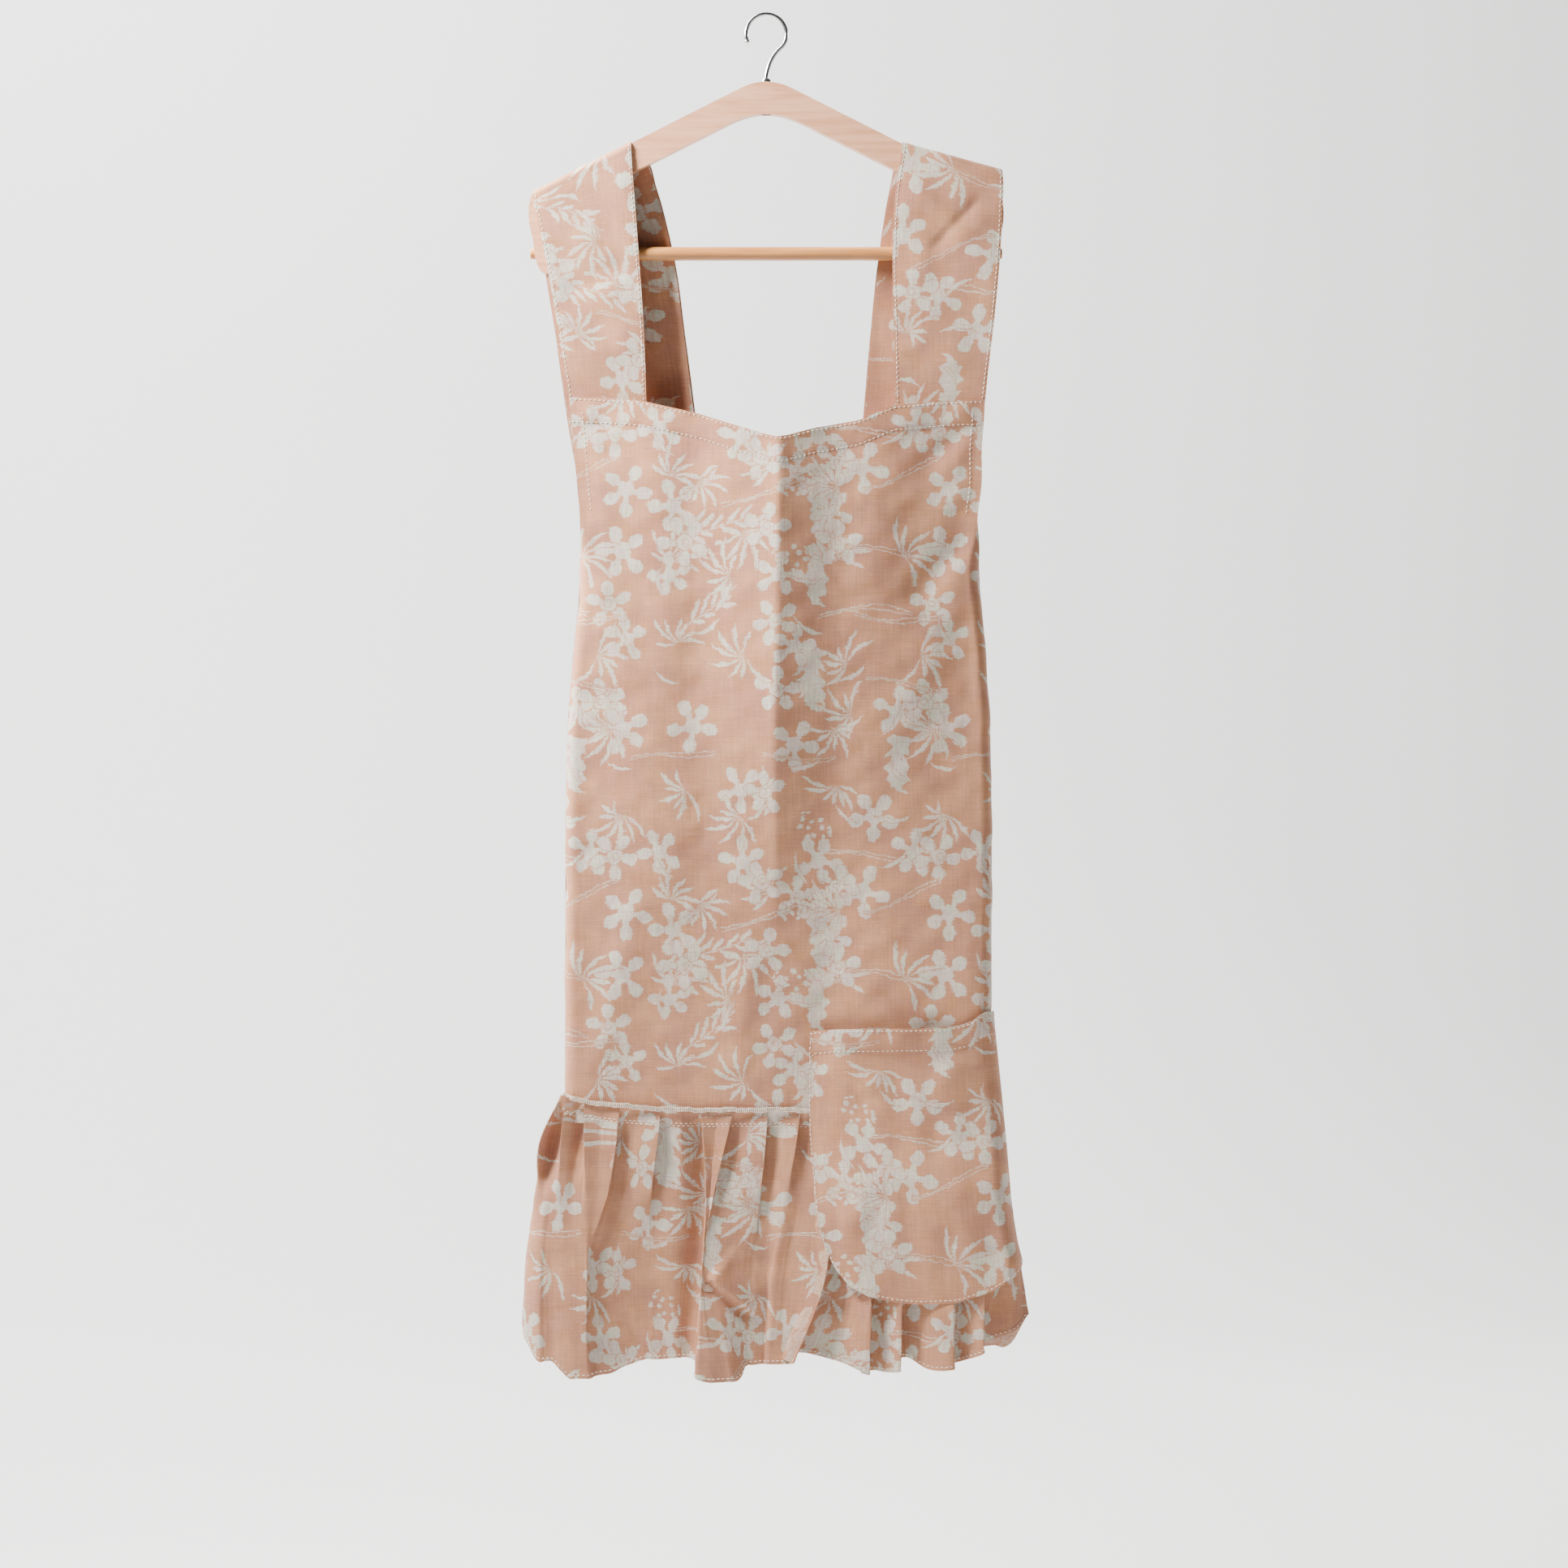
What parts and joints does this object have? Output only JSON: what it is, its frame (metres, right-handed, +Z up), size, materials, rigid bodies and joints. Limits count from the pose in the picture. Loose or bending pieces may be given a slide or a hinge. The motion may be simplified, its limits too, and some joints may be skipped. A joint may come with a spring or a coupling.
{
  "type": "apron on a hanger",
  "caption": "Wrap-back linen pinafore apron with wide shoulder straps, patch pocket and ruffled hem, on a wooden hanger with a trouser bar and a swivelling wire hook.",
  "frame": {"origin": "the point inside the hook that rests on top of a rail", "axes": "+Z up along the hook's shank, the apron's front faces -Y, +X to the right as seen from the front"},
  "size_m": [0.4739, 0.0594, 1.2748],
  "materials": {
    "wood": "satin",
    "bar_wood": "satin",
    "steel": "satin",
    "hook_steel": "polished",
    "printed_linen": "matte",
    "linen_wrong_side": "matte",
    "overlock_thread": "matte"
  },
  "bodies": {
    "hook": {"hook": "hook_steel", "hook_nut": "steel", "hook_washer": "steel"},
    "hanger": {"hanger_board": "wood", "trouser_bar": "bar_wood", "bar_brads": "steel", "hook_collar": "hook_steel", "front_panel": "printed_linen", "bib_facing": "linen_wrong_side", "left_strap": "printed_linen", "left_strap_lining": "linen_wrong_side", "right_strap": "printed_linen", "right_strap_lining": "linen_wrong_side", "left_wing": "printed_linen", "right_wing": "printed_linen", "front_ruffle": "printed_linen", "left_back_ruffle": "printed_linen", "right_back_ruffle": "printed_linen", "ruffle_seam_edge": "overlock_thread", "pocket": "printed_linen", "pocket_facing": "linen_wrong_side"}
  },
  "joints": [
    {"name": "hook_swivel", "type": "hinge", "parent": "hook", "child": "hanger", "pos_m": [0, 0, -0.07], "axis": [0, 0, 1], "continuous": true}
  ]
}
